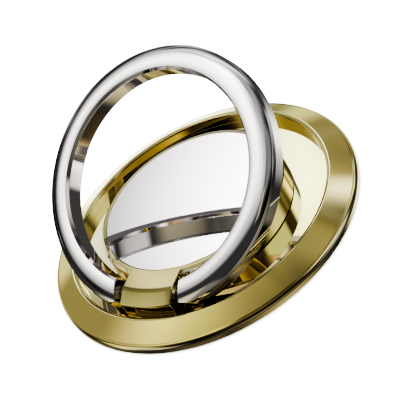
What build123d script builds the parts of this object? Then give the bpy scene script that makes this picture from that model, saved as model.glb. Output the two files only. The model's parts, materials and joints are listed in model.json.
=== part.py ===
from build123d import *
import os

# Phone ring holder: a round tray that sticks to a phone, a turntable that spins in it,
# and a finger ring that folds up from the turntable on a hinge pin.
# Millimetres, +Z away from the phone, origin at the centre of the adhesive pad's underside.
# The hinge lies on the -Y side of the turntable and turns about X.

# Finger ring, with its heights measured from its flat back face
ring_bore_radius = 12.4
ring_width = 3.05
ring_bevel_width = 0.26
ring_bevel_height = 0.42
ring_inner_height = 2.86
ring_crown_width = 1.34
ring_crown_height = 2.93
ring_crown_rise = 0.03
ring_shoulder_height = 2.35
ring_shoulder_bevel_width = 0.17
ring_shoulder_bevel_height = 0.32
ring_end_round = 0.18
ring_open_angle = 33.5

# Hinge
pin_radius = 0.55
pin_inset = 0.8
pin_height_in_ring = 0.8
pin_engagement = 1.0
pin_bore_spare = 0.12
pin_end_chamfer = 0.1
pin_running_clearance = 0.04
heel_clearance = 0.15
hinge_washer_radius = 1.05
hinge_washer_play = 0.06

# Base tray
ring_floor_gap = 0.47
channel_clearance = 1.43
rim_width = 3.12
rim_rise = 1.45
crest_bevel_width = 0.22
crest_bevel_height = 0.2
edge_land_height = 0.68
shoulder_width = 0.51
shoulder_height = 0.48
shoulder_round = 0.12
foot_chamfer = 0.1
floor_thickness = 0.55
boss_radius = 6.6
web_thickness = 0.6

# Adhesive pad
pad_thickness = 0.5
pad_recess_depth = 0.3
pad_edge_margin = 1.3
pad_side_clearance = 0.1

# Turntable
ring_bore_clearance = 0.25
turntable_draft = 0.12
turntable_running_gap = 0.12
turntable_height = 2.93
turntable_wall = 1.25
top_land_width = 0.45
top_bevel_height = 0.26

# Tongue that carries the hinge
tongue_width = 6.84
ring_end_gap = 0.86
tongue_overhang = 0.45
nose_length = 1.8
nose_drop = 0.8
nose_bend_radius = 1.3
nose_edge_round = 0.18
tongue_side_bevel = 0.12

# Cover plate
plate_thickness = 0.75
plate_proud = 0.05
plate_side_clearance = 0.06
plate_chamfer = 0.1
plate_rim_width = 0.35

# Centre rivet and its washers
rivet_radius = 1.9
rivet_hole_radius = 1.0
rivet_head_radius = 3.4
rivet_head_thickness = 0.5
rivet_head_clearance = 0.05
rivet_seat_clearance = 0.03
rivet_running_clearance = 0.05
rivet_foot_radius = 2.8
rivet_foot_thickness = 0.15
rivet_foot_gap = 0.15
retaining_washer_radius = 4.4
retaining_washer_thickness = 0.2
spring_washer_radius = 4.2
spring_washer_sheet = 0.12
spring_washer_height = 0.3
slip_washer_radius = 6.2
slip_washer_thickness = 0.3
washer_bore_clearance = 0.1
washer_face_play = 0.02
pocket_side_clearance = 0.6

# Radii worked outwards from the ring
ring_outer_radius = ring_bore_radius + ring_width
turntable_radius = ring_bore_radius - ring_bore_clearance
rim_inner_radius = ring_outer_radius + channel_clearance
base_radius = rim_inner_radius + rim_width
pad_recess_radius = base_radius - pad_edge_margin
pocket_radius = retaining_washer_radius + pocket_side_clearance
nose_radius = ring_outer_radius + tongue_overhang
hinge_radius = ring_bore_radius + pin_inset
turntable_top_radius = turntable_radius - turntable_draft
top_land_radius = turntable_top_radius - plate_rim_width
plate_recess_radius = top_land_radius - top_land_width

# Heights worked upwards from the phone
tray_bottom = pad_thickness - pad_recess_depth
floor_top = pad_thickness + floor_thickness
rim_crest = floor_top + rim_rise
land_top = tray_bottom + edge_land_height
rivet_foot_bottom = pad_thickness + rivet_foot_gap
retaining_washer_bottom = rivet_foot_bottom + rivet_foot_thickness
spring_washer_bottom = retaining_washer_bottom + retaining_washer_thickness
pocket_ceiling = spring_washer_bottom + spring_washer_height
boss_top = pocket_ceiling + web_thickness
turntable_ceiling = boss_top + slip_washer_thickness + washer_face_play
turntable_foot = floor_top + turntable_running_gap
turntable_top = turntable_foot + turntable_height
plate_seat = turntable_top + plate_proud - plate_thickness
rivet_head_top = plate_seat - rivet_head_clearance
rivet_head_seat = rivet_head_top - rivet_head_thickness
ring_back = floor_top + ring_floor_gap
hinge_height = ring_back + pin_height_in_ring
heel_radius = hinge_height - floor_top - heel_clearance

# Places across the hinge
tongue_side = tongue_width / 2
ring_end = tongue_side + ring_end_gap
hinge_axis = Axis((0, -hinge_radius, hinge_height), (1, 0, 0))


def turned(outline):
    """A solid turned about Z from an outline of (radius, height)."""
    return revolve(Plane.XZ * make_face(outline), Axis.Z)


def flat_washer(outer_radius, bore_radius, bottom, thickness):
    """A flat washer about Z, standing on the given height."""
    top = bottom + thickness
    return turned(Polyline(
        (bore_radius, bottom), (outer_radius, bottom), (outer_radius, top), (bore_radius, top), close=True))


def hinge_rod(radius, length):
    """A round bar centred on the hinge axis."""
    return Pos(0, -hinge_radius, hinge_height) * Rot(0, 90, 0) * Cylinder(radius, length)


def base_tray():
    """Dish with a sloped rim, a raised boss for the rivet and a recess for the pad below."""
    bore_radius = rivet_radius + rivet_running_clearance
    slope_foot = (base_radius - shoulder_width, land_top + shoulder_height)
    land_edge = (base_radius, land_top)
    top = Polyline(
        (bore_radius, pocket_ceiling),
        (bore_radius, boss_top),
        (boss_radius, boss_top),
        (boss_radius, floor_top),
        (rim_inner_radius, floor_top),
        (rim_inner_radius, rim_crest - crest_bevel_height),
        (rim_inner_radius + crest_bevel_width, rim_crest),
        slope_foot)
    shoulder = SagittaArc(slope_foot, land_edge, shoulder_round)
    underside = Polyline(
        land_edge,
        (base_radius, tray_bottom + foot_chamfer),
        (base_radius - foot_chamfer, tray_bottom),
        (pad_recess_radius, tray_bottom),
        (pad_recess_radius, pad_thickness),
        (pocket_radius, pad_thickness),
        (pocket_radius, pocket_ceiling),
        (bore_radius, pocket_ceiling))
    return turned(top + shoulder + underside)


def adhesive_pad():
    """Disc of double-sided foam, standing a little proud of the tray."""
    return Cylinder(pad_recess_radius - pad_side_clearance, pad_thickness,
                    align=(Align.CENTER, Align.CENTER, Align.MIN))


def tongue():
    """Block that runs out from the turntable over the hinge and slopes down at its nose."""
    root_radius = plate_recess_radius + top_land_width / 2
    nose_top = (nose_radius, turntable_top - nose_drop)
    bend = (nose_radius - nose_length, turntable_top)
    section = make_face(Polyline(
        (root_radius, turntable_foot), (nose_radius, turntable_foot), nose_top, bend,
        (root_radius, turntable_top), close=True))
    section = fillet(section.vertices().sort_by_distance(bend)[0], nose_bend_radius)
    section = fillet(section.vertices().sort_by_distance(nose_top)[0], nose_edge_round)
    sweep = revolve(Plane.XZ * section, Axis.Z)
    slab = Box(tongue_width, 2 * nose_radius, 2 * turntable_top, align=(Align.CENTER, Align.MAX, Align.CENTER))
    block = sweep & slab
    side_edges = block.faces().filter_by(Axis.X).edges().filter_by(Axis.Z, reverse=True)
    top_edges = side_edges.filter_by(lambda edge: edge.center().Z > hinge_height)
    return chamfer(top_edges, tongue_side_bevel)


def turntable():
    """Upturned cup with a recess for the cover plate and the hinge tongue on its edge."""
    bore_radius = rivet_radius + rivet_seat_clearance
    head_bore_radius = rivet_head_radius + rivet_head_clearance
    cavity_radius = turntable_radius - turntable_wall
    cup = turned(Polyline(
        (bore_radius, turntable_ceiling),
        (bore_radius, rivet_head_seat),
        (head_bore_radius, rivet_head_seat),
        (head_bore_radius, plate_seat),
        (plate_recess_radius, plate_seat),
        (plate_recess_radius, turntable_top),
        (top_land_radius, turntable_top),
        (turntable_top_radius, turntable_top - top_bevel_height),
        (turntable_radius, turntable_foot),
        (cavity_radius, turntable_foot),
        (cavity_radius, turntable_ceiling),
        close=True))
    return cup + tongue() - hinge_rod(pin_radius, tongue_width)


def cover_plate():
    """Polished plate set in the top of the turntable."""
    plate = Pos(0, 0, plate_seat) * Cylinder(
        plate_recess_radius - plate_side_clearance, plate_thickness,
        align=(Align.CENTER, Align.CENTER, Align.MIN))
    return chamfer(plate.edges().sort_by(Axis.Z)[-1], plate_chamfer)


def heel_relief():
    """What comes off the outer side of the ring's ends, so that they turn clear of the tray's floor."""
    reach = 4 * ring_outer_radius
    outside = Box(reach, reach, reach, align=(Align.CENTER, Align.MAX, Align.CENTER))
    upright = Box(reach, 2 * heel_radius, reach, align=(Align.CENTER, Align.CENTER, Align.MIN))
    return Pos(0, -hinge_radius, hinge_height) * (outside - upright) - hinge_rod(heel_radius, reach)


def finger_ring():
    """Open ring with a face that is nearly flat inside and rolls off outside, at its rest angle on the hinge."""
    inner_edge = (ring_bore_radius + ring_bevel_width, ring_back + ring_inner_height)
    shoulder_edge = (ring_outer_radius - ring_shoulder_bevel_width, ring_back + ring_shoulder_height)
    crown_edge = (inner_edge[0] + ring_crown_width, ring_back + ring_crown_height)
    crown = SagittaArc(inner_edge, crown_edge, ring_crown_rise)
    roll = TangentArc(crown_edge, shoulder_edge, tangent=crown % 1)
    sides = Polyline(
        shoulder_edge,
        (ring_outer_radius, shoulder_edge[1] - ring_shoulder_bevel_height),
        (ring_outer_radius, ring_back + ring_bevel_height),
        (ring_outer_radius - ring_bevel_width, ring_back),
        (ring_bore_radius + ring_bevel_width, ring_back),
        (ring_bore_radius, ring_back + ring_bevel_height),
        (ring_bore_radius, inner_edge[1] - ring_bevel_height),
        inner_edge)
    hoop = turned(crown + roll + sides)
    opening = Box(2 * ring_end, 2 * ring_outer_radius, 4 * turntable_top,
                  align=(Align.CENTER, Align.MAX, Align.CENTER))
    hoop = hoop - opening - heel_relief()
    hoop = fillet(hoop.faces().filter_by(Axis.X).edges(), ring_end_round)
    pin_bore_depth = pin_engagement + pin_bore_spare
    hoop -= hinge_rod(pin_radius + pin_running_clearance, 2 * (ring_end + pin_bore_depth))
    return hoop.rotate(hinge_axis, ring_open_angle)


def hinge_pin():
    """Steel pin pressed through the tongue, with both ends in the ring."""
    pin = hinge_rod(pin_radius, 2 * (ring_end + pin_engagement))
    ends = pin.edges().filter_by(GeomType.CIRCLE)
    return chamfer(ends, pin_end_chamfer)


def hinge_washer(side):
    """Friction washer on the pin, between the tongue and one end of the ring."""
    thickness = ring_end_gap - 2 * hinge_washer_play
    bore_radius = pin_radius + pin_running_clearance
    centre = side * (tongue_side + ring_end_gap / 2)
    ring = hinge_rod(hinge_washer_radius, thickness) - hinge_rod(bore_radius, thickness)
    return Pos(centre, 0, 0) * ring


def centre_rivet():
    """Tubular rivet that holds the turntable down, with its flared foot under the tray."""
    return turned(Polyline(
        (rivet_hole_radius, rivet_foot_bottom),
        (rivet_foot_radius, rivet_foot_bottom),
        (rivet_foot_radius, retaining_washer_bottom),
        (rivet_radius, retaining_washer_bottom),
        (rivet_radius, rivet_head_seat),
        (rivet_head_radius, rivet_head_seat),
        (rivet_head_radius, rivet_head_top),
        (rivet_hole_radius, rivet_head_top),
        close=True))


def slip_washer():
    """Flat plastic washer that the turntable turns on."""
    return flat_washer(slip_washer_radius, rivet_radius + washer_bore_clearance, boss_top, slip_washer_thickness)


def retaining_washer():
    """Flat steel washer held by the rivet's foot."""
    return flat_washer(retaining_washer_radius, rivet_radius + rivet_seat_clearance,
                       retaining_washer_bottom, retaining_washer_thickness)


def spring_washer():
    """Coned steel washer that presses up on the tray and gives the turntable its drag."""
    bore_radius = rivet_radius + washer_bore_clearance
    crown = pocket_ceiling - washer_face_play
    return turned(Polyline(
        (bore_radius, spring_washer_bottom),
        (spring_washer_radius, crown - spring_washer_sheet),
        (spring_washer_radius, crown),
        (bore_radius, spring_washer_bottom + spring_washer_sheet),
        close=True))


pieces = {
    "base_tray": base_tray(),
    "adhesive_pad": adhesive_pad(),
    "turntable": turntable(),
    "cover_plate": cover_plate(),
    "finger_ring": finger_ring(),
    "hinge_pin": hinge_pin(),
    "hinge_washer_left": hinge_washer(-1),
    "hinge_washer_right": hinge_washer(1),
    "centre_rivet": centre_rivet(),
    "slip_washer": slip_washer(),
    "retaining_washer": retaining_washer(),
    "spring_washer": spring_washer(),
}

os.makedirs("parts", exist_ok=True)
for node, piece in pieces.items():
    export_step(piece, f"parts/{node}.step")
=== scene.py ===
import json
import math

import bpy
import numpy as np
from bpy.props import FloatProperty, FloatVectorProperty, IntProperty, PointerProperty
from bpy.types import Operator, Panel, PropertyGroup
from mathutils import Matrix, Vector
from mathutils.geometry import tessellate_polygon


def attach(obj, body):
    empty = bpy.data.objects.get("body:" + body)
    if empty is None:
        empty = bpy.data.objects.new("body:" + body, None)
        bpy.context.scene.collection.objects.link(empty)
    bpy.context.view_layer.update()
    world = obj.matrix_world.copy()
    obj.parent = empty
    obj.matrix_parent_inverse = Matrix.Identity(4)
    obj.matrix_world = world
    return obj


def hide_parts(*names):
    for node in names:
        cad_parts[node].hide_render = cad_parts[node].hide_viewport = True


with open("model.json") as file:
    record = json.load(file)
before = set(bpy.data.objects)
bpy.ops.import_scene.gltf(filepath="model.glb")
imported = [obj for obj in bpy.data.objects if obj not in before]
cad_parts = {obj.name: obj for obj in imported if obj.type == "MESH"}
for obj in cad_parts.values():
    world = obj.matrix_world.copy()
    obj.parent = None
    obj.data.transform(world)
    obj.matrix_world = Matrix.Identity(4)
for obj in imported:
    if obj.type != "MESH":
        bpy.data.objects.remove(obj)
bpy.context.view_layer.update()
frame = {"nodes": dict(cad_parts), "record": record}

bl_info = {
    "name": "Phone ring holder",
    "version": (1, 0, 0),
    "blender": (4, 5, 0),
    "location": "3D View > Sidebar > Ring holder",
    "description": "Builds the polished pieces of a phone ring holder over its packed model",
    "category": "Add Mesh",
}

MM = 0.001

TINY = 1e-9               # counts as nought
MOST_SETBACK = 0.48       # share of a side that one softened corner may take
ARC_POINTS = 33           # fewest points along a bulging side
TURN_STEPS = 480          # steps round the polished turned pieces
PAD_STEPS = 240           # steps round the foam pad
HOOP_STEPS = 421          # steps along the finger ring
HOOP_SPACING = 0.16 * MM  # spacing of points round the ring's section
TONGUE_SPACING = 0.25 * MM  # the same for the tongue
HOOP_CROWDING = 0.45      # how far the ring's steps crowd towards its ends
END_BENDS = 7             # steps over the rounding of the ring's ends
PIN_HOLE_STEPS = 48       # steps round each hole for the pin
TONGUE_SOFT_STEPS = 9     # steps over each softened corner of the tongue
TONGUE_COLUMNS = 30       # columns across the tongue's flat part
SIDE_BENDS = 6            # steps over the rounding of the tongue's sides
ROOT_EDGE = 0.02 * MM     # softening of the tongue's hidden root
ROOT_FADE = 0.5 * MM      # length over which the sides' rounding grows
TONGUE_LIFT = 0.004 * MM  # height of the tongue above the land that it covers
LAND_SINK = 0.06 * MM     # how far the drum's land is let down under the tongue
LAND_MARGIN = 0.1 * MM    # how far inside the tongue's sides that stays
PLATING_HAZE = 0.03       # rise of roughness where the plating is hazy
PLATE_HAZE = 0.02         # the same for the plate
FLAG_DEPTH = 0.97         # share of the light that a flag holds back
POLE = 0.499              # height of a dome's first and last row, in half turns
FLOOR_REACH = 2.5         # radius of the floor, in metres
FLOOR_STEPS = 96          # steps round the floor
FLOOR_DROP = 0.02 * MM    # how far the floor lies below the pad
WASH_SPREAD = 120.0       # spread of the light on the floor, in degrees
BACKDROP_LIGHT = 5.0      # brightness of the backdrop
SENSOR_WIDTH = 36.0       # width of the camera's sensor, in millimetres


# Settings

def length(name, description, millimetres):
    """A size that a user may change, kept in metres."""
    return FloatProperty(name=name, description=description, default=millimetres * MM, min=0.0,
                         precision=5, unit="LENGTH")


def tone(name, description, rgb):
    """A linear colour that a user may change."""
    return FloatVectorProperty(name=name, description=description, default=rgb, size=3, min=0.0, max=1.0,
                               subtype="COLOR")


def share(name, description, value):
    """A plain number between nought and one."""
    return FloatProperty(name=name, description=description, default=value, min=0.0, max=1.0, precision=4,
                         subtype="FACTOR")


def angle(name, description, degrees):
    """An angle that a user may change, kept in radians."""
    return FloatProperty(name=name, description=description, default=math.radians(degrees), subtype="ANGLE")


class TrayForm(PropertyGroup):
    """Sizes of the gold dish."""
    radius: length("Radius", "Outside radius of the dish", 20.0)
    inner_radius: length("Inner radius", "Radius of the upright wall inside the rim", 16.62)
    crest_radius: length("Crest radius", "Radius of the rim's highest line", 17.14)
    crest_height: length("Crest height", "Height of the rim's highest line", 2.5)
    lip_height: length("Lip height", "Height where the upright wall meets the rounded crest", 2.2)
    crest_bow: length("Crest bow", "How far the rounded crest bulges", 0.1)
    slope_radius: length("Slope radius", "Radius of the foot of the rim's slope", 19.49)
    slope_height: length("Slope height", "Height of the foot of the rim's slope", 1.36)
    shoulder_bow: length("Shoulder bow", "How far the shoulder below the slope bulges", 0.12)
    land_height: length("Land height", "Top of the upright land at the outside", 0.88)
    underside: length("Underside", "Height of the dish's underside above the phone", 0.2)
    foot_chamfer: length("Foot chamfer", "Chamfer round the underside's edge", 0.1)
    floor_height: length("Floor height", "Height of the channel's floor", 1.05)
    boss_radius: length("Boss radius", "Radius of the raised middle", 6.6)
    boss_height: length("Boss height", "Height of the raised middle", 1.9)
    bore_radius: length("Bore radius", "Radius of the hole for the rivet", 1.95)
    recess_radius: length("Recess radius", "Radius of the recess for the adhesive pad", 18.7)
    recess_height: length("Recess height", "Height of the recess's ceiling", 0.5)
    pocket_radius: length("Pocket radius", "Radius of the pocket for the spring washer", 5.0)
    pocket_height: length("Pocket height", "Height of the pocket's ceiling", 1.3)
    edge: length("Edge softness", "Setback of the softened edges", 0.035)


class TurntableForm(PropertyGroup):
    """Sizes of the drum and of the tongue that carries the hinge."""
    foot_radius: length("Foot radius", "Radius of the drum's foot", 12.15)
    foot_height: length("Foot height", "Height of the drum's foot", 1.17)
    top_radius: length("Top radius", "Radius of the drum below its top bevel", 12.03)
    bevel_height: length("Bevel foot", "Height where the wall meets the top bevel", 3.84)
    land_radius: length("Land radius", "Outside radius of the flat top rim", 11.68)
    top_height: length("Top height", "Height of the flat top rim", 4.1)
    recess_radius: length("Recess radius", "Radius of the recess for the plate", 11.23)
    recess_height: length("Recess height", "Height of the plate's seat", 3.4)
    head_radius: length("Head radius", "Radius of the sink for the rivet's head", 3.45)
    head_height: length("Head height", "Height of the seat of the rivet's head", 2.85)
    bore_radius: length("Bore radius", "Radius of the hole for the rivet", 1.93)
    cavity_radius: length("Cavity radius", "Radius of the hollow underneath", 10.9)
    cavity_height: length("Cavity height", "Height of the hollow's ceiling", 2.22)
    tongue_half: length("Tongue half width", "Half of the tongue's width", 3.42)
    root_radius: length("Tongue root", "Radius at which the tongue starts", 11.26)
    bend_radius: length("Bend radius", "Radius at which the tongue's top starts to slope", 14.1)
    nose_radius: length("Nose radius", "Radius of the tongue's front", 15.9)
    nose_height: length("Nose height", "Height of the tongue's front edge", 3.3)
    bend_ease: length("Bend ease", "Setback of the bend in the tongue's top", 0.34)
    nose_ease: length("Nose ease", "Setback of the tongue's softened front edge", 0.12)
    side_round: length("Side round", "Rounding of the tongue's side edges", 0.1)
    edge: length("Edge softness", "Setback of the softened edges", 0.035)


class PlateForm(PropertyGroup):
    """Sizes of the mirror plate."""
    radius: length("Radius", "Radius of the plate", 11.17)
    top: length("Top", "Height of the plate's face", 4.15)
    seat: length("Seat", "Height of the plate's underside", 3.4)
    chamfer: length("Chamfer", "Chamfer round the face", 0.04)
    edge: length("Edge softness", "Setback of the softened edges", 0.01)


class RingForm(PropertyGroup):
    """Sizes of the finger ring, lying flat before it is tipped up on its hinge."""
    bore_radius: length("Bore radius", "Radius of the finger's hole", 12.4)
    width: length("Width", "Width of the band across the ring", 3.05)
    back: length("Back", "Height of the flat back face", 1.52)
    inner_height: length("Inner height", "Height of the face's inner edge above the back", 2.86)
    crown_width: length("Crown width", "Width of the nearly flat part of the face", 1.34)
    crown_height: length("Crown height", "Height of the outer edge of the flat part above the back", 2.93)
    crown_bow: length("Crown bow", "How far the flat part bulges", 0.03)
    outer_height: length("Outer height", "Height of the face's outer edge above the back", 2.35)
    bevel_width: length("Bevel width", "Width of the bevels at the bore and the back", 0.26)
    bevel_height: length("Bevel height", "Height of the bevels at the bore and the back", 0.42)
    shoulder_width: length("Shoulder width", "Width of the bevel below the face's outer edge", 0.17)
    shoulder_height: length("Shoulder height", "Height of the bevel below the face's outer edge", 0.32)
    end: length("End", "Distance of each end from the middle of the hinge", 4.28)
    end_round: length("End round", "Rounding of the ends' edges", 0.14)
    hinge_radius: length("Hinge radius", "Distance of the hinge from the turntable's axis", 13.2)
    hinge_height: length("Hinge height", "Height of the hinge", 2.32)
    heel_radius: length("Heel radius", "Radius of the heels round the hinge", 1.12)
    pin_hole: length("Pin hole", "Radius of the hole for the pin in each end", 0.59)
    pin_depth: length("Pin depth", "Depth of the hole for the pin", 1.12)
    tip: angle("Tip", "How far the ring stands open", 33.5)
    edge: length("Edge softness", "Setback of the softened edges", 0.04)


class PadForm(PropertyGroup):
    """Sizes of the adhesive pad."""
    radius: length("Radius", "Radius of the pad", 18.6)
    thickness: length("Thickness", "Thickness of the pad", 0.5)
    edge: length("Edge softness", "Setback of the softened edges", 0.06)


class FinishTones(PropertyGroup):
    """Colours and polish of the finishes."""
    gold: tone("Gold", "Polished gold plating", (0.92, 0.8, 0.49))
    chrome: tone("Chrome", "Chrome plating of the ring", (0.91, 0.86, 0.865))
    plate: tone("Plate", "Polished steel of the plate", (0.90, 0.88, 0.88))
    steel: tone("Steel", "Turned steel of the pin, rivet and washers", (0.52, 0.51, 0.50))
    nylon: tone("Nylon", "Natural nylon of the slip washer", (0.74, 0.72, 0.65))
    foam: tone("Foam", "Foam of the adhesive pad", (0.035, 0.036, 0.038))
    polish: share("Polish", "Roughness of the polished metal", 0.02)


class StageSettings(PropertyGroup):
    """Camera, floor and light."""
    azimuth: angle("Azimuth", "Direction of the camera round the holder", 42.87)
    elevation: angle("Elevation", "Height of the camera above the horizon", 37.66)
    roll: angle("Roll", "Turn of the camera about its own axis", -32.3)
    distance: length("Distance", "Distance of the camera from the origin", 117.6)
    lens: FloatProperty(name="Lens", description="Focal length in millimetres", default=86.75, min=1.0)
    shift_x: FloatProperty(name="Shift X", description="Sideways shift of the picture", default=-0.0096)
    shift_y: FloatProperty(name="Shift Y", description="Upward shift of the picture", default=0.0514)
    floor: tone("Floor", "Colour of the floor", (0.90, 0.90, 0.90))
    floor_light: FloatProperty(name="Floor light", description="Brightness of the light on the floor",
                               default=18.0)
    dome_steps: IntProperty(name="Dome steps", description="Steps round each light dome", default=360,
                            min=90)


# Outlines and meshes

def edge_run(start, end, bow, spacing):
    """Points and directions along one side of an outline, which bulges to its left by bow."""
    start, end = np.array(start, float), np.array(end, float)
    chord = end - start
    size = np.hypot(*chord)
    count = max(2, int(math.ceil(size / spacing)) + 1)
    if bow == 0:
        along = np.linspace(0.0, 1.0, count)[:, None]
        return start + chord * along, np.repeat([chord / size], count, 0)
    radius = (size * size / 4 + bow * bow) / (2 * bow)
    left = np.array([-chord[1], chord[0]]) / size
    centre = (start + end) / 2 + left * (bow - radius)
    first = math.atan2(*(start - centre)[::-1])
    turn = math.atan2(*(end - centre)[::-1]) - first
    turn = (turn + math.pi) % (2 * math.pi) - math.pi
    at = first + turn * np.linspace(0.0, 1.0, max(count, ARC_POINTS))
    spoke = np.stack([np.cos(at), np.sin(at)], 1)
    return centre + radius * spoke, np.stack([spoke[:, 1], -spoke[:, 0]], 1) * -math.copysign(1.0, turn)


def cut_back(points, ways, setback, from_end):
    """An outline side with its start or end cut back by a setback."""
    if from_end:
        points, ways = points[::-1], ways[::-1]
    travel = np.concatenate([[0.0], np.cumsum(np.hypot(*np.diff(points, axis=0).T))])
    at = min(setback, travel[-1] * MOST_SETBACK)
    keep = travel > at + TINY
    new_point = [np.interp(at, travel, points[:, k]) for k in (0, 1)]
    new_way = np.array([np.interp(at, travel, ways[:, k]) for k in (0, 1)])
    points = np.vstack([new_point, points[keep]])
    ways = np.vstack([new_way / np.hypot(*new_way), ways[keep]])
    return (points[::-1], ways[::-1]) if from_end else (points, ways)


def outline(corners, closed=True, spacing=1.0, steps=5):
    """Points and outward normals of a section in (radius, height).

    Each corner is (radius, height, setback of its softening, bow of the side that follows).
    The section runs with its outside on the left.
    """
    count = len(corners)
    sides = []
    for i in range(count if closed else count - 1):
        here, there = corners[i], corners[(i + 1) % count]
        points, ways = edge_run(here[:2], there[:2], here[3], spacing)
        if here[2] > 0:
            points, ways = cut_back(points, ways, here[2], False)
        if there[2] > 0:
            points, ways = cut_back(points, ways, there[2], True)
        sides.append((points, ways))
    all_points, all_ways = [], []
    for i, (points, ways) in enumerate(sides):
        all_points.append(points)
        all_ways.append(ways)
        if not closed and i == len(sides) - 1:
            break
        after, after_ways = sides[(i + 1) % len(sides)]
        corner = np.array(corners[(i + 1) % count][:2], float)
        t = np.linspace(0.0, 1.0, steps + 1)[1:-1, None]
        start, end = points[-1], after[0]
        all_points.append((1 - t) ** 2 * start + 2 * t * (1 - t) * corner + t ** 2 * end)
        bend = (1 - t) * (corner - start) + t * (end - corner)
        all_ways.append(bend / np.hypot(bend[:, 0], bend[:, 1])[:, None])
    points, ways = np.vstack(all_points), np.vstack(all_ways)
    return points, np.stack([-ways[:, 1], ways[:, 0]], 1)


def add_object(name, data):
    """An object in the scene for a mesh, a lamp or a camera."""
    made = bpy.data.objects.new(name, data)
    bpy.context.scene.collection.objects.link(made)
    return made


def new_piece(name, points, faces, normals, finish):
    """A smooth mesh object with exact normals and one finish."""
    mesh = bpy.data.meshes.new(name)
    mesh.from_pydata([tuple(p) for p in points], [], faces)
    mesh.polygons.foreach_set("use_smooth", [True] * len(mesh.polygons))
    if mesh.validate():
        raise RuntimeError(f"{name} has faces that Blender had to mend")
    mesh.normals_split_custom_set_from_vertices([tuple(n) for n in normals])
    mesh.materials.append(finish)
    return add_object(name, mesh)


def band_faces(loops, steps):
    """Quads between neighbouring closed loops of points, stored one loop after another."""
    faces = []
    for j in range(loops - 1):
        for i in range(steps):
            k = (i + 1) % steps
            faces.append((j * steps + i, j * steps + k, (j + 1) * steps + k, (j + 1) * steps + i))
    return faces


def turned(section, normals, closed, steps):
    """Points, faces and normals of a section turned about Z.

    An open section starts and ends on the axis.
    """
    turn = np.linspace(0.0, 2 * math.pi, steps, endpoint=False)
    cos, sin = np.cos(turn), np.sin(turn)
    points, directions, rows = [], [], []
    for (radius, height), (out, up) in zip(section, normals):
        first = len(points)
        if radius < TINY:
            points.append((0.0, 0.0, height))
            directions.append((0.0, 0.0, math.copysign(1.0, up)))
            rows.append([first] * steps)
            continue
        points.extend(zip(radius * cos, radius * sin, np.full(steps, height)))
        directions.extend(zip(out * cos, out * sin, np.full(steps, up)))
        rows.append(list(range(first, first + steps)))
    faces = []
    count = len(rows)
    for i in range(count if closed else count - 1):
        here, there = rows[i], rows[(i + 1) % count]
        for j in range(steps):
            k = (j + 1) % steps
            face = [here[j], there[j], there[k], here[k]]
            faces.append(tuple(dict.fromkeys(face)))
    return np.array(points), faces, np.array(directions)


# Finishes

class Wire:
    """One output of a shader node. Python arithmetic on it adds Math nodes."""

    def __init__(self, finish, socket):
        self.finish = finish
        self.socket = socket

    def math(self, operation, first, second):
        return self.finish.node("ShaderNodeMath", {"operation": operation}, {0: first, 1: second})

    def __add__(self, other):
        return self.math("ADD", self, other)

    def __radd__(self, other):
        return self.math("ADD", other, self)

    def __sub__(self, other):
        return self.math("SUBTRACT", self, other)

    def __rsub__(self, other):
        return self.math("SUBTRACT", other, self)

    def __mul__(self, other):
        return self.math("MULTIPLY", self, other)

    def __rmul__(self, other):
        return self.math("MULTIPLY", other, self)

    def __pow__(self, other):
        return self.math("POWER", self, other)

    def __rpow__(self, other):
        return self.math("POWER", other, self)


class Finish:
    """A node material while it is being wired."""

    def __init__(self, name):
        self.material = bpy.data.materials.new(name)
        self.material.use_nodes = True
        self.tree = self.material.node_tree
        self.tree.nodes.clear()

    def node(self, kind, settings=None, sockets=None, out=0):
        """A node of a kind, with its settings made first, then its sockets set or linked."""
        node = self.tree.nodes.new(kind)
        for key, value in (settings or {}).items():
            if key == "stops":
                for stop, (place, grey) in zip(node.color_ramp.elements, value):
                    stop.position = place
                    stop.color = (grey, grey, grey, 1.0)
            else:
                setattr(node, key, value)
        for key, value in (sockets or {}).items():
            if isinstance(value, Wire):
                self.tree.links.new(value.socket, node.inputs[key])
            else:
                node.inputs[key].default_value = value
        return Wire(self, node.outputs[out])

    def place(self):
        """Position on the piece, in metres."""
        return self.node("ShaderNodeTexCoord", out=3)

    def noise(self, vector, scale, detail=3.0, roughness=0.5):
        """Soft cloudy noise between nought and one."""
        return self.node("ShaderNodeTexNoise", None,
                         {"Vector": vector, "Scale": scale, "Detail": detail, "Roughness": roughness})

    def blend(self, amount, first, second):
        """A colour between two colours."""
        return self.node("ShaderNodeMix", {"data_type": "RGBA"},
                         {0: amount, 6: (*first, 1.0), 7: (*second, 1.0)}, out=2)

    def turning(self, fine, coarse):
        """Noise drawn out round the turning axis, as polishing on a spindle leaves it."""
        place = self.place()
        flat = self.node("ShaderNodeVectorMath", {"operation": "MULTIPLY"},
                         {0: place, 1: (1.0, 1.0, 0.0)})
        radius = self.node("ShaderNodeVectorMath", {"operation": "LENGTH"}, {0: flat}, out=1)
        x, y, z = (self.node("ShaderNodeSeparateXYZ", None, {0: place}, out=axis) for axis in range(3))
        round_axis = self.node("ShaderNodeMath", {"operation": "ARCTAN2"}, {0: y, 1: x})
        vector = self.node("ShaderNodeCombineXYZ", None,
                           {0: radius * fine, 1: round_axis * coarse, 2: z * fine})
        return self.noise(vector, 1.0, 2.0)

    def bump(self, height, strength, distance):
        """A small relief that feeds a shader's normal."""
        return self.node("ShaderNodeBump", None,
                         {"Strength": strength, "Distance": distance, "Height": height})

    def close(self, surface):
        """Wires a surface to the output and gives the finished material."""
        output = self.tree.nodes.new("ShaderNodeOutputMaterial")
        self.tree.links.new(surface.socket, output.inputs["Surface"])
        return self.material


def shade(rgb, factor):
    """A colour made darker or lighter."""
    return tuple(min(1.0, value * factor) for value in rgb)


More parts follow.
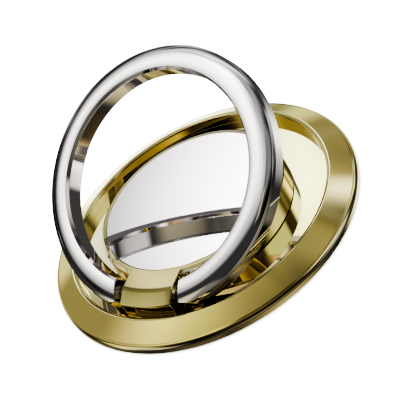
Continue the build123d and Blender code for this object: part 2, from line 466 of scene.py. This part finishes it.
def mirror_metal(name, rgb, polish, haze_rise):
    """Mirror-polished plating: spindle lines, a breath of haze and a slow drift of tone."""
    finish = Finish(name)
    place = finish.place()
    drift = finish.noise(place, 140.0, 3.0)
    haze = finish.noise(place, 520.0, 5.0, 0.62)
    lines = finish.turning(9000.0, 5.0)
    surface = finish.node("ShaderNodeBsdfPrincipled", None, {
        "Base Color": finish.blend(drift, shade(rgb, 0.985), shade(rgb, 1.015)),
        "Metallic": 1.0,
        "Roughness": polish + haze_rise * haze ** 2.0 + 0.006 * lines,
        "Normal": finish.bump(lines, 0.02, 2e-6),
    })
    return finish.close(surface)


def turned_steel(name, rgb):
    """Plain turned steel with visible tool lines."""
    finish = Finish(name)
    place = finish.place()
    lines = finish.turning(16000.0, 2.0)
    grime = finish.noise(place, 900.0, 4.0)
    surface = finish.node("ShaderNodeBsdfPrincipled", None, {
        "Base Color": finish.blend(grime, shade(rgb, 0.8), shade(rgb, 1.1)),
        "Metallic": 1.0,
        "Roughness": 0.2 + 0.16 * lines,
        "Normal": finish.bump(lines, 0.25, 6e-6),
    })
    return finish.close(surface)


def plain_nylon(name, rgb):
    """Milky moulded nylon."""
    finish = Finish(name)
    place = finish.place()
    cloud = finish.noise(place, 350.0, 4.0)
    surface = finish.node("ShaderNodeBsdfPrincipled", None, {
        "Base Color": finish.blend(cloud, shade(rgb, 0.93), shade(rgb, 1.05)),
        "Roughness": 0.42 + 0.15 * cloud,
        "Normal": finish.bump(finish.noise(place, 6000.0, 3.0), 0.2, 8e-6),
    })
    return finish.close(surface)


def foam_tape(name, rgb):
    """Matt closed-cell foam: fine cells over a slow drift of tone."""
    finish = Finish(name)
    place = finish.place()
    cells = finish.node("ShaderNodeTexVoronoi", None, {"Vector": place, "Scale": 5200.0})
    drift = finish.noise(place, 260.0, 4.0)
    tone_mix = 0.55 * drift + 0.45 * cells
    surface = finish.node("ShaderNodeBsdfPrincipled", None, {
        "Base Color": finish.blend(tone_mix, shade(rgb, 0.75), shade(rgb, 1.5)),
        "Roughness": 0.78 + 0.16 * cells,
        "Normal": finish.bump(cells, 0.6, 3e-5),
    })
    return finish.close(surface)


FINISHES_MADE = set()


def finish_named(name):
    """A finish of the holder, made the first time it is asked for."""
    if name in bpy.data.materials and name in FINISHES_MADE:
        return bpy.data.materials[name]
    tones = bpy.context.scene.holder_tones
    makers = {
        "polished_gold": (mirror_metal, tones.gold, tones.polish, PLATING_HAZE),
        "ring_chrome": (mirror_metal, tones.chrome, tones.polish, PLATING_HAZE),
        "mirror_plate": (mirror_metal, tones.plate, tones.polish, PLATE_HAZE),
        "bare_steel": (turned_steel, tones.steel),
        "washer_plastic": (plain_nylon, tones.nylon),
        "adhesive_foam": (foam_tape, tones.foam),
    }
    if name not in makers:
        raise RuntimeError(f"there is no finish named {name}")
    maker, *look = makers[name]
    made = maker(name, *look)
    FINISHES_MADE.add(made.name)
    return made


def settle(piece, body, slot, *nodes):
    """Rides a piece on its body, in place of the plain nodes."""
    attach(piece, body)
    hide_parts(*nodes)


# Pieces

class HOLDER_OT_tray(Operator):
    """Turn the gold dish with its sloped rim"""
    bl_idname = "holder.tray"
    bl_label = "Tray"

    def execute(self, context):
        form = context.scene.holder_tray
        edge = form.edge
        chamfer = form.foot_chamfer
        section, normals = outline([
            (form.bore_radius, form.pocket_height, edge, 0),
            (form.bore_radius, form.boss_height, edge, 0),
            (form.boss_radius, form.boss_height, edge, 0),
            (form.boss_radius, form.floor_height, edge, 0),
            (form.inner_radius, form.floor_height, edge, 0),
            (form.inner_radius, form.lip_height, edge, form.crest_bow),
            (form.crest_radius, form.crest_height, edge, 0),
            (form.slope_radius, form.slope_height, edge, form.shoulder_bow),
            (form.radius, form.land_height, edge, 0),
            (form.radius, form.underside + chamfer, edge, 0),
            (form.radius - chamfer, form.underside, edge, 0),
            (form.recess_radius, form.underside, edge, 0),
            (form.recess_radius, form.recess_height, edge, 0),
            (form.pocket_radius, form.recess_height, edge, 0),
            (form.pocket_radius, form.pocket_height, edge, 0),
        ])
        points, faces, directions = turned(section, normals, True, TURN_STEPS)
        piece = new_piece("tray_dish", points, faces, directions, finish_named("polished_gold"))
        settle(piece, "base", "polished_gold", "base_tray")
        return {"FINISHED"}


def tongue_mesh(form):
    """The hinge tongue: a turned section between two flat sides with rounded edges."""
    top = form.top_height + TONGUE_LIFT
    section, normals = outline([
        (form.root_radius, top, ROOT_EDGE, 0),
        (form.bend_radius, top, form.bend_ease, 0),
        (form.nose_radius, form.nose_height, form.nose_ease, 0),
        (form.nose_radius, form.foot_height, form.edge, 0),
        (form.root_radius, form.foot_height, form.edge, 0),
    ], spacing=TONGUE_SPACING, steps=TONGUE_SOFT_STEPS)
    side, soft = form.tongue_half, form.side_round
    bends = np.radians(np.linspace(90.0, 0.0, SIDE_BENDS))
    inner = np.linspace(-(side - soft), side - soft, TONGUE_COLUMNS)[1:-1]
    columns = [(-side + soft * (1 - math.sin(b)), soft * (1 - math.cos(b)), b, -1) for b in bends]
    columns += [(x, 0.0, 0.0, 0) for x in inner]
    columns += [(side - soft * (1 - math.sin(b)), soft * (1 - math.cos(b)), b, 1) for b in bends[::-1]]
    fade = np.clip((section[:, 0] - form.land_radius) / ROOT_FADE, 0.0, 1.0)
    points, directions = [], []
    for x, inset, bend, way in columns:
        shrunk = section - normals * (inset * fade)[:, None]
        y = -np.sqrt(np.maximum(shrunk[:, 0] ** 2 - x * x, 1e-12))
        points.append(np.stack([np.full(len(y), x), y, shrunk[:, 1]], 1))
        out = np.stack([normals[:, 0] * x / shrunk[:, 0], normals[:, 0] * y / shrunk[:, 0],
                        normals[:, 1]], 1)
        lean = (bend * fade)[:, None]
        out = out * np.cos(lean) + np.sin(lean) * np.array([[way, 0.0, 0.0]])
        directions.append(out / np.linalg.norm(out, axis=1)[:, None])
    rows = len(section)
    faces = band_faces(len(columns), rows)
    points, directions = list(np.vstack(points)), list(np.vstack(directions))
    for column, way in ((0, -1), (len(columns) - 1, 1)):
        first = len(points)
        points += [points[column * rows + i] for i in range(rows)]
        directions += [np.array([way, 0.0, 0.0])] * rows
        loop = tuple(range(first, first + rows))
        faces.append(loop if way > 0 else loop[::-1])
    return np.array(points), faces, np.array(directions)


class HOLDER_OT_turntable(Operator):
    """Turn the gold drum and set the hinge tongue on it"""
    bl_idname = "holder.turntable"
    bl_label = "Turntable"

    def execute(self, context):
        form = context.scene.holder_turntable
        edge = form.edge
        section, normals = outline([
            (form.bore_radius, form.cavity_height, edge, 0),
            (form.bore_radius, form.head_height, edge, 0),
            (form.head_radius, form.head_height, edge, 0),
            (form.head_radius, form.recess_height, edge, 0),
            (form.recess_radius, form.recess_height, edge, 0),
            (form.recess_radius, form.top_height, edge, 0),
            (form.land_radius, form.top_height, edge, 0),
            (form.top_radius, form.bevel_height, edge, 0),
            (form.foot_radius, form.foot_height, edge, 0),
            (form.cavity_radius, form.foot_height, edge, 0),
            (form.cavity_radius, form.cavity_height, edge, 0),
        ])
        points, faces, directions = turned(section, normals, True, TURN_STEPS)
        under_tongue = (np.abs(points[:, 0]) < form.tongue_half - LAND_MARGIN) & (points[:, 1] < 0)
        bevel_foot = form.bevel_height - edge
        sink = np.clip((points[:, 2] - bevel_foot) / (form.top_height - bevel_foot), 0.0, 1.0)
        points[under_tongue, 2] -= LAND_SINK * sink[under_tongue]
        drum = new_piece("turntable_drum", points, faces, directions, finish_named("polished_gold"))
        settle(drum, "table", "polished_gold", "turntable")
        points, faces, directions = tongue_mesh(form)
        tongue = new_piece("hinge_tongue", points, faces, directions, finish_named("polished_gold"))
        settle(tongue, "table", "polished_gold", "turntable")
        return {"FINISHED"}


class HOLDER_OT_plate(Operator):
    """Turn the mirror plate in the top of the turntable"""
    bl_idname = "holder.plate"
    bl_label = "Mirror plate"

    def execute(self, context):
        form = context.scene.holder_plate
        section, normals = outline([
            (0.0, form.top, 0, 0),
            (form.radius - form.chamfer, form.top, form.edge, 0),
            (form.radius, form.top - form.chamfer, form.edge, 0),
            (form.radius, form.seat, form.edge, 0),
            (0.0, form.seat, 0, 0),
        ], closed=False)
        points, faces, directions = turned(section, normals, False, TURN_STEPS)
        piece = new_piece("mirror_disc", points, faces, directions, finish_named("mirror_plate"))
        settle(piece, "table", "mirror_plate", "cover_plate")
        return {"FINISHED"}


def tangent_bow(chord, bow, next_chord):
    """The bow of an arc that carries on smoothly from an arc with a given chord and bow."""
    leave = math.atan2(chord[1], chord[0]) - 2 * math.atan2(2 * bow, math.hypot(*chord))
    turn = leave - math.atan2(next_chord[1], next_chord[0])
    return math.hypot(*next_chord) / 2 * math.tan(turn / 2)


def ring_mesh(form):
    """The open hoop: a rolled-off section swept round.

    It has rounded ends, relieved heels and a hole for the pin in each end.
    """
    outer = form.bore_radius + form.width
    low, bevel, rise, edge = form.back, form.bevel_width, form.bevel_height, form.edge
    shoulder = outer - form.shoulder_width
    crown = form.bore_radius + bevel + form.crown_width
    roll_bow = tangent_bow((form.crown_width, form.crown_height - form.inner_height), form.crown_bow,
                           (shoulder - crown, form.outer_height - form.crown_height))
    section, normals = outline([
        (form.bore_radius + bevel, low + form.inner_height, edge, form.crown_bow),
        (crown, low + form.crown_height, edge, roll_bow),
        (shoulder, low + form.outer_height, edge, 0),
        (outer, low + form.outer_height - form.shoulder_height, edge, 0),
        (outer, low + rise, edge, 0),
        (outer - bevel, low, edge, 0),
        (form.bore_radius + bevel, low, edge, 0),
        (form.bore_radius, low + rise, edge, 0),
        (form.bore_radius, low + form.inner_height - rise, edge, 0),
    ], spacing=HOOP_SPACING)
    middle = section.mean(0)
    reach = np.hypot(*(section - middle).T).mean()
    bends = np.radians(np.linspace(90.0, 0.0, END_BENDS))
    columns = [(form.end + form.end_round * (1 - math.sin(b)), form.end_round * (1 - math.cos(b)), b, None)
               for b in bends]
    along = np.linspace(0.0, 1.0, HOOP_STEPS)[1:-1]
    along = (1 - HOOP_CROWDING) * along + HOOP_CROWDING * (0.5 - 0.5 * np.cos(math.pi * along))
    columns += [(form.end + form.end_round, 0.0, 0.0, u) for u in along]
    columns += [(-x, inset, b, None) for x, inset, b, _ in columns[:len(bends)][::-1]]
    points, directions = [], []
    for x, inset, bend, u in columns:
        shrunk = middle + (section - middle) * (1 - inset / reach)
        radius = shrunk[:, 0]
        start = np.arcsin(np.abs(x) / radius)
        turn = start if u is None else start + u * (2 * math.pi - 2 * start)
        turn = turn if x > 0 or u is not None else 2 * math.pi - turn
        place = np.stack([radius * np.sin(turn), -radius * np.cos(turn), shrunk[:, 1]], 1)
        out = np.stack([normals[:, 0] * np.sin(turn), -normals[:, 0] * np.cos(turn), normals[:, 1]], 1)
        relieve(form, place, out, form.heel_radius - inset)
        out = out * math.cos(bend) + np.array([-math.copysign(math.sin(bend), x), 0.0, 0.0])
        points.append(place)
        directions.append(out / np.linalg.norm(out, axis=1)[:, None])
    rows = len(section)
    faces = band_faces(len(columns), rows)
    points, directions = list(np.vstack(points)), list(np.vstack(directions))
    for column, way in ((0, 1), (len(columns) - 1, -1)):
        rim = [points[column * rows + i] for i in range(rows)]
        end_cap(form, rim, way, points, directions, faces)
    points, directions = np.array(points), np.array(directions)
    hinge = np.array([0.0, -form.hinge_radius, form.hinge_height])
    tip = np.array(Matrix.Rotation(form.tip, 3, "X"))
    return (points - hinge) @ tip.T + hinge, faces, directions @ tip.T


def relieve(form, place, out, heel):
    """Takes the heels in to a round about the hinge, so that they turn clear of the dish."""
    depth = place[:, 1] + form.hinge_radius
    height = place[:, 2] - form.hinge_height
    upper = (depth < -heel) & (height >= 0)
    place[upper, 1] = -form.hinge_radius - heel
    out[upper] = (0.0, -1.0, 0.0)
    span = np.hypot(depth, height)
    lower = (depth < 0) & (height < 0) & (span > heel)
    spoke = np.stack([depth, height], 1)[lower] / span[lower, None]
    place[lower, 1] = -form.hinge_radius + spoke[:, 0] * heel
    place[lower, 2] = form.hinge_height + spoke[:, 1] * heel
    out[lower] = np.stack([np.zeros(len(spoke)), spoke[:, 0], spoke[:, 1]], 1)


def end_cap(form, rim, way, points, directions, faces):
    """One flat end of the ring with the blind hole for the pin."""
    turn = np.linspace(0.0, 2 * math.pi, PIN_HOLE_STEPS, endpoint=False)
    across = -form.hinge_radius + form.pin_hole * np.cos(turn)
    upward = form.hinge_height + form.pin_hole * np.sin(turn)
    x = rim[0][0]
    hole = [np.array([x, a, b]) for a, b in zip(across, upward)]
    first = len(points)
    points += rim + hole
    directions += [np.array([-way, 0.0, 0.0])] * (len(rim) + len(hole))
    flat = [[Vector((p[1], p[2], 0.0)) for p in loop] for loop in (rim, hole)]
    fill = np.array(tessellate_polygon(flat)) + first
    corners = np.array(points)[fill]
    area = np.cross(corners[:, 1] - corners[:, 0], corners[:, 2] - corners[:, 0])[:, 0].sum()
    faces += [tuple(face if area * way < 0 else face[::-1]) for face in fill.tolist()]
    count = len(hole)
    mouth = len(points)
    deep = x + way * form.pin_depth
    inward = [np.array([0.0, -math.cos(t), -math.sin(t)]) for t in turn]
    points += hole + [np.array([deep, p[1], p[2]]) for p in hole]
    directions += inward + inward
    floor = len(points)
    points += [np.array([deep, p[1], p[2]]) for p in hole]
    directions += [np.array([-way, 0.0, 0.0])] * count
    for i in range(count):
        k = (i + 1) % count
        wall = (mouth + i, mouth + k, mouth + count + k, mouth + count + i)
        faces.append(wall if way < 0 else wall[::-1])
    loop = tuple(range(floor, floor + count))
    faces.append(loop if way < 0 else loop[::-1])


class HOLDER_OT_ring(Operator):
    """Sweep the chrome finger ring, open at the hinge"""
    bl_idname = "holder.ring"
    bl_label = "Finger ring"

    def execute(self, context):
        points, faces, directions = ring_mesh(context.scene.holder_ring)
        piece = new_piece("chrome_hoop", points, faces, directions, finish_named("ring_chrome"))
        settle(piece, "ring", "ring_chrome", "finger_ring")
        return {"FINISHED"}


class HOLDER_OT_pad(Operator):
    """Lay the foam pad under the dish"""
    bl_idname = "holder.pad"
    bl_label = "Adhesive pad"

    def execute(self, context):
        form = context.scene.holder_pad
        section, normals = outline([
            (0.0, form.thickness, 0, 0),
            (form.radius, form.thickness, form.edge, 0),
            (form.radius, 0.0, form.edge, 0),
            (0.0, 0.0, 0, 0),
        ], closed=False)
        points, faces, directions = turned(section, normals, False, PAD_STEPS)
        piece = new_piece("foam_pad", points, faces, directions, finish_named("adhesive_foam"))
        settle(piece, "base", "adhesive_foam", "adhesive_pad")
        return {"FINISHED"}


class HOLDER_OT_hardware(Operator):
    """Finish the pin, the rivet and the washers"""
    bl_idname = "holder.hardware"
    bl_label = "Pin, rivet and washers"

    def execute(self, context):
        slots = {item["node"]: item["material_slot"] for item in frame["record"]["subparts"]}
        for node, piece in frame["nodes"].items():
            if piece.hide_render:
                continue
            finish = finish_named(slots[node])
            piece.data.materials.clear()
            piece.data.materials.append(finish)
        return {"FINISHED"}


# Stage

# A card is (azimuth, elevation, roll, half width, half height, softness) in degrees, azimuth 0
# towards -Y, and then its light: one level, or red, green and blue. A flag is the same without light.

TRAY_CARDS = [
    (40, 82, 0, 12, 11, 6, 0.09, 0.08, 0.04),
    (302, 66, 0, 16, 11, 8, 0.22, 0.24, 0.03),
    (205, 38, -3, 25, 3, 2, 0.74, 0.85, 0.91),
    (143, 51, -97, 9, 33, 13, 0.81, 0.78, 0.44),
    (305, 39, 6, 11, 69, 12, 0.69, 0.68, 0.37),
    (255, 13, 80, 58, 25, 10, 0.25, 0.24, 0.13),
    (232, 0, -17, 39, 15, 4, 0.40, 0.44, 0.26),
    (72, -68, -47, 22, 17, 16, 0.88, 0.87, 0.59),
    (15, 44, 40, 10, 6, 2, 0.12, 0.12, 0.16),
    (152, 42, 3, 10, 9, 4, 1.92, 2.06, 1.78),
    (332, 8, -14, 17, 21, 8, 0.49, 0.48, 0.49),
    (102, 1, -31, 16, 10, 2, 0.22, 0.24, 0.34),
    (218, -24, 3, 19, 13, 5, 1.47, 1.71, 1.20),
    (46, 3, -5, 22, 29, 19, 0.16, 0.14, 0.11),
    (179, -42, 25, 28, 36, 12, 0.96, 1.06, 0.95),
    (116, 27, 58, 15, 29, 4, 0.53, 0.63, 0.64),
    (333, -49, 9, 38, 6, 2, 0.08, 0.07, 0.06),
    (217, 42, -23, 23, 31, 4, 0.08, 0.10, 0.11),
    (182, -30, -7, 24, 69, 17, 0.24, 0.23, 0.13),
    (215, 48, 67, 15, 5, 2, 1.59, 1.71, 1.11),
    (213, 65, 23, 9, 8, 4, 3.65, 3.24, 2.06),
    (226, -22, 10, 8, 10, 9, 0.34, 0.33, 0.44),
]
TRAY_FLAGS = [
    (38, 38, 0, 55, 12, 6),
    (148, 43, -18, 10, 14, 9),
    (210, 74, 1, 11, 16, 3),
    (215, 9, -1, 13, 14, 4),
    (135, 16, 64, 14, 10, 6),
    (308, 49, -29, 6, 39, 7),
    (195, 36, -1, 13, 5, 6),
]
TABLE_CARDS = [
    (223, 40, 0, 8, 2, 1.4, 0.12, 0.09, 0.00),
    (217, 66, 20, 3, 33, 10, 1.00, 1.08, 0.89),
    (280, 49, 29, 14, 61, 31, 0.22, 0.21, 0.11),
    (109, 47, -1, 15, 24, 3, 0.51, 0.67, 0.53),
    (172, 44, -44, 10, 13, 4, 1.23, 1.59, 1.54),
    (254, 2, -1, 11, 31, 9, 0.70, 0.88, 0.72),
    (2, 54, 15, 12, 10, 2, 0.29, 0.33, 0.27),
    (2, 26, 18, 12, 13, 4, 0.27, 0.48, 1.52),
    (322, 12, 18, 7, 22, 5, 0.26, 0.26, 0.17),
    (298, 43, -30, 13, 15, 2, 0.30, 0.33, 0.21),
    (294, 38, 37, 15, 11, 5, 0.44, 0.53, 0.34),
    (216, 25, -25, 20, 12, 3, 0.26, 0.28, 0.33),
    (331, 5, 12, 6, 16, 7, 0.19, 0.18, 0.12),
]
TABLE_FLAGS = [
    (234, 26, -19, 6, 12, 2),
    (304, 41, 3, 14, 6, 8),
]
RING_CARDS = [
    (256, 78, 1, 37, 31, 13, 0.70, 0.72, 0.72),
    (167, -37, -29, 38, 4, 17, 3.60, 3.68, 3.40),
    (113, 22, 12, 23, 13, 5, 0.55, 0.56, 0.52),
    (177, 55, 38, 24, 4, 5, 0.77, 0.80, 0.81),
    (273, 70, 28, 7, 24, 8, 3.13, 3.20, 2.96),
    (54, -16, -59, 3, 31, 13, 0.82, 0.80, 0.52),
    (306, -14, -35, 8, 17, 6, 0.67, 0.67, 0.52),
    (191, 16, 82, 5, 31, 7, 0.23, 0.24, 0.24),
    (341, -19, 30, 35, 21, 3, 0.15, 0.15, 0.12),
    (36, 44, -12, 4, 8, 2, 0.38, 0.37, 0.24),
    (270, 18, 53, 3, 13, 3, 3.87, 4.00, 4.05),
    (144, 3, 50, 3, 6, 2, 0.71, 0.73, 0.69),
    (279, -69, 5, 18, 40, 2, 0.19, 0.19, 0.17),
    (202, 14, -1, 8, 16, 3, 0.41, 0.43, 0.43),
    (73, 51, 30, 18, 12, 5, 0.16, 0.17, 0.17),
    (265, 19, 11, 12, 17, 2, 0.11, 0.11, 0.10),
    (229, -4, -36, 10, 30, 5, 0.58, 0.60, 0.61),
    (344, 1, -7, 8, 18, 5, 0.46, 0.45, 0.28),
    (310, 69, 33, 12, 11, 3, 0.62, 0.63, 0.54),
    (303, 13, 17, 11, 12, 11, 0.04, 0.04, 0.04),
]
RING_FLAGS = [
    (283, 47, 15, 5, 14, 12),
    (218, 42, 19, 9, 3, 4),
    (269, 16, -22, 16, 15, 7),
    (121, 22, 33, 19, 6, 5),
    (238, 16, -31, 8, 12, 7),
    (9, -23, -8, 8, 7, 28),
    (123, -20, -27, 31, 11, 13),
    (158, 77, -26, 8, 32, 34),
    (61, 28, -29, 11, 12, 8),
    (301, 16, -10, 7, 9, 11),
]
PLATE_CARDS = [
    (190, 76, 0, 14, 10, 6, 0.9),
    (165, 60, 0, 20, 12, 8, 0.9),
    (288, 28, 0, 30, 24, 8, 0.9),
    (213, 36, 27, 12, 4, 8, 3.80, 3.58, 3.64),
    (127, 38, 54, 3, 9, 3, 1.73, 1.68, 1.45),
    (311, 72, 33, 22, 8, 4, 0.72, 0.65, 0.33),
    (354, 28, 9, 52, 10, 23, 1.70, 1.72, 1.64),
    (76, 17, 0, 14, 14, 7, 0.58, 0.55, 0.58),
    (88, 54, -17, 17, 14, 8, 0.73, 0.55, 0.26),
    (5, 44, -14, 17, 12, 5, 2.70, 2.66, 2.49),
    (327, 38, 27, 10, 14, 4, 1.18, 1.10, 0.47),
]
PLATE_FLAGS = [
    (74, 58, -40, 16, 13, 6),
    (2, 53, 39, 7, 15, 10),
]

# A dome's name, radius, even light, cards and flags, and the pieces that it lights. The radii differ
# because domes that coincide hide each other.
DOMES = (
    ("tray_dome", 4.0, 0.045, TRAY_CARDS, TRAY_FLAGS, ("tray_dish",)),
    ("table_dome", 4.1, 0.063, TABLE_CARDS, TABLE_FLAGS, ("turntable_drum", "hinge_tongue")),
    ("ring_dome", 4.2, 0.063, RING_CARDS, RING_FLAGS,
     ("chrome_hoop", "hinge_pin", "hinge_washer_left", "hinge_washer_right", "centre_rivet",
      "slip_washer", "retaining_washer", "spring_washer", "foam_pad")),
    ("plate_dome", 4.4, 0.094, PLATE_CARDS, PLATE_FLAGS, ("mirror_disc",)),
)


def soft_step(offset, half, soft):
    """One inside a card and nought outside, with a soft edge."""
    t = np.clip((half + soft - np.abs(offset)) / (2 * soft), 0.0, 1.0)
    return t * t * (3 - 2 * t)


def card_mask(directions, azimuth, elevation, roll, width, height, soft):
    """How much of a soft card lies in each direction."""
    az, el, turn = (math.radians(v) for v in (azimuth, elevation, roll))
    middle = np.array([math.sin(az) * math.cos(el), -math.cos(az) * math.cos(el), math.sin(el)])
    side = np.array([math.cos(az), math.sin(az), 0.0])
    rise = np.cross(middle, side)
    across = math.cos(turn) * side + math.sin(turn) * rise
    upward = -math.sin(turn) * side + math.cos(turn) * rise
    f, x, y = directions @ middle, directions @ across, directions @ upward
    first = soft_step(np.degrees(np.arctan2(x, f)), width, soft)
    return first * soft_step(np.degrees(np.arctan2(y, np.hypot(f, x))), height, soft)


class HOLDER_OT_stage(Operator):
    """Set the floor, the light domes and the camera"""
    bl_idname = "holder.stage"
    bl_label = "Stage"

    def execute(self, context):
        stage = context.scene.holder_stage
        self.floor(stage)
        self.camera(context.scene, stage)
        for dome in DOMES:
            self.dome(stage, *dome)
        self.world(context.scene)
        return {"FINISHED"}

    def floor(self, stage):
        """The pale floor under the holder, and a lamp that washes it evenly."""
        turn = np.linspace(0.0, 2 * math.pi, FLOOR_STEPS, endpoint=False)
        mesh = bpy.data.meshes.new("studio_floor")
        rim = [(FLOOR_REACH * math.cos(t), FLOOR_REACH * math.sin(t), -FLOOR_DROP) for t in turn]
        mesh.from_pydata(rim, [], [tuple(range(FLOOR_STEPS))])
        finish = Finish("floor_paper")
        grain = finish.noise(finish.place(), 60.0, 2.0)
        surface = finish.node("ShaderNodeBsdfPrincipled", None, {
            "Base Color": finish.blend(grain, shade(stage.floor, 0.995), stage.floor),
            "Roughness": 0.9,
            "Specular IOR Level": 0.0,
        })
        mesh.materials.append(finish.close(surface))
        floor = add_object("studio_floor", mesh)
        floor.visible_glossy = False
        lamp = bpy.data.lights.new("floor_wash", "SUN")
        lamp.energy = stage.floor_light
        lamp.angle = math.radians(WASH_SPREAD)
        add_object("floor_wash", lamp).visible_glossy = False

    def dome(self, stage, name, reach, base, cards, flags, receivers):
        """A sphere of soft light that only its own pieces see.

        Cards add light, and flags hold it back.
        """
        around, up = stage.dome_steps, stage.dome_steps // 2
        turn, rise = np.meshgrid(np.linspace(0.0, 2 * math.pi, around, endpoint=False),
                                 np.linspace(-POLE * math.pi, POLE * math.pi, up))
        directions = np.stack([np.cos(turn) * np.cos(rise), np.sin(turn) * np.cos(rise), np.sin(rise)], -1)
        directions = directions.reshape(-1, 3)
        glow = np.full((len(directions), 3), base)
        for card in cards:
            glow += card_mask(directions, *card[:6])[:, None] * np.array(card[6:])
        for flag in flags:
            glow *= 1.0 - FLAG_DEPTH * card_mask(directions, *flag)[:, None]
        mesh = bpy.data.meshes.new(name)
        mesh.from_pydata([tuple(p) for p in directions * reach], [], band_faces(up, around))
        layer = mesh.attributes.new("glow", "FLOAT_COLOR", "POINT")
        opaque = np.ones((len(glow), 1))
        layer.data.foreach_set("color", np.hstack([glow, opaque]).astype(np.float32).ravel())
        finish = Finish(name)
        colour = finish.node("ShaderNodeAttribute", {"attribute_name": "glow"})
        light = finish.node("ShaderNodeEmission", None, {"Color": colour, "Strength": 1.0})
        clear = finish.node("ShaderNodeBsdfTransparent")
        material = finish.close(finish.node("ShaderNodeAddShader", None, {0: light, 1: clear}))
        material.cycles.emission_sampling = "NONE"
        mesh.materials.append(material)
        dome = add_object(name, mesh)
        dome.visible_camera = False
        dome.visible_shadow = False
        group = bpy.data.collections.new(name + "_pieces")
        for receiver in receivers:
            group.objects.link(bpy.data.objects[receiver])
        dome.light_linking.receiver_collection = group

    def camera(self, scene, stage):
        """The camera at the photo's viewing angle."""
        az, el = stage.azimuth, stage.elevation
        back = Vector((math.sin(az) * math.cos(el), -math.cos(az) * math.cos(el), math.sin(el)))
        right = (-back).cross(Vector((0.0, 0.0, 1.0))).normalized()
        up = right.cross(-back)
        across = math.cos(stage.roll) * right + math.sin(stage.roll) * up
        upward = -math.sin(stage.roll) * right + math.cos(stage.roll) * up
        lens = bpy.data.cameras.new("photo_view")
        lens.lens = stage.lens
        lens.sensor_width = SENSOR_WIDTH
        lens.shift_x = stage.shift_x
        lens.shift_y = stage.shift_y
        lens.clip_start = 0.01
        camera = add_object("photo_view", lens)
        facing = Matrix((across, upward, back)).transposed().to_4x4()
        camera.matrix_world = Matrix.Translation(back * stage.distance) @ facing
        scene.camera = camera

    def world(self, scene):
        """A white backdrop that lights nothing, and the picture's contrast."""
        world = bpy.data.worlds.new("white_backdrop")
        world.use_nodes = True
        background = world.node_tree.nodes["Background"]
        background.inputs["Color"].default_value = (1.0, 1.0, 1.0, 1.0)
        background.inputs["Strength"].default_value = BACKDROP_LIGHT
        world.cycles_visibility.diffuse = False
        world.cycles_visibility.glossy = False
        scene.world = world
        scene.view_settings.view_transform = "AgX"
        scene.view_settings.look = "AgX - Very High Contrast"


class HOLDER_PT_pieces(Panel):
    """Lists the holder's pieces and their settings."""
    bl_label = "Ring holder"
    bl_idname = "HOLDER_PT_pieces"
    bl_space_type = "VIEW_3D"
    bl_region_type = "UI"
    bl_category = "Ring holder"

    def draw(self, context):
        for operator in OPERATORS:
            self.layout.operator(operator.bl_idname)
        for name, form in FORMS.items():
            box = self.layout.box()
            settings = getattr(context.scene, name)
            for key in form.__annotations__:
                box.prop(settings, key)


FORMS = {
    "holder_tones": FinishTones,
    "holder_tray": TrayForm,
    "holder_turntable": TurntableForm,
    "holder_plate": PlateForm,
    "holder_ring": RingForm,
    "holder_pad": PadForm,
    "holder_stage": StageSettings,
}
OPERATORS = (HOLDER_OT_tray, HOLDER_OT_turntable, HOLDER_OT_plate, HOLDER_OT_ring, HOLDER_OT_pad,
             HOLDER_OT_hardware, HOLDER_OT_stage)


def register():
    """Adds the settings, the operators and the panel."""
    for name, form in FORMS.items():
        bpy.utils.register_class(form)
        setattr(bpy.types.Scene, name, PointerProperty(type=form))
    for operator in OPERATORS:
        bpy.utils.register_class(operator)
    bpy.utils.register_class(HOLDER_PT_pieces)


def unregister():
    """Takes the panel, the operators and the settings away again."""
    bpy.utils.unregister_class(HOLDER_PT_pieces)
    for operator in reversed(OPERATORS):
        bpy.utils.unregister_class(operator)
    for name, form in reversed(FORMS.items()):
        delattr(bpy.types.Scene, name)
        bpy.utils.unregister_class(form)


def main():
    """Builds the holder and its stage."""
    register()
    bpy.ops.holder.tray()
    bpy.ops.holder.turntable()
    bpy.ops.holder.plate()
    bpy.ops.holder.ring()
    bpy.ops.holder.pad()
    bpy.ops.holder.hardware()
    bpy.ops.holder.stage()


if __name__ == "__main__":
    main()
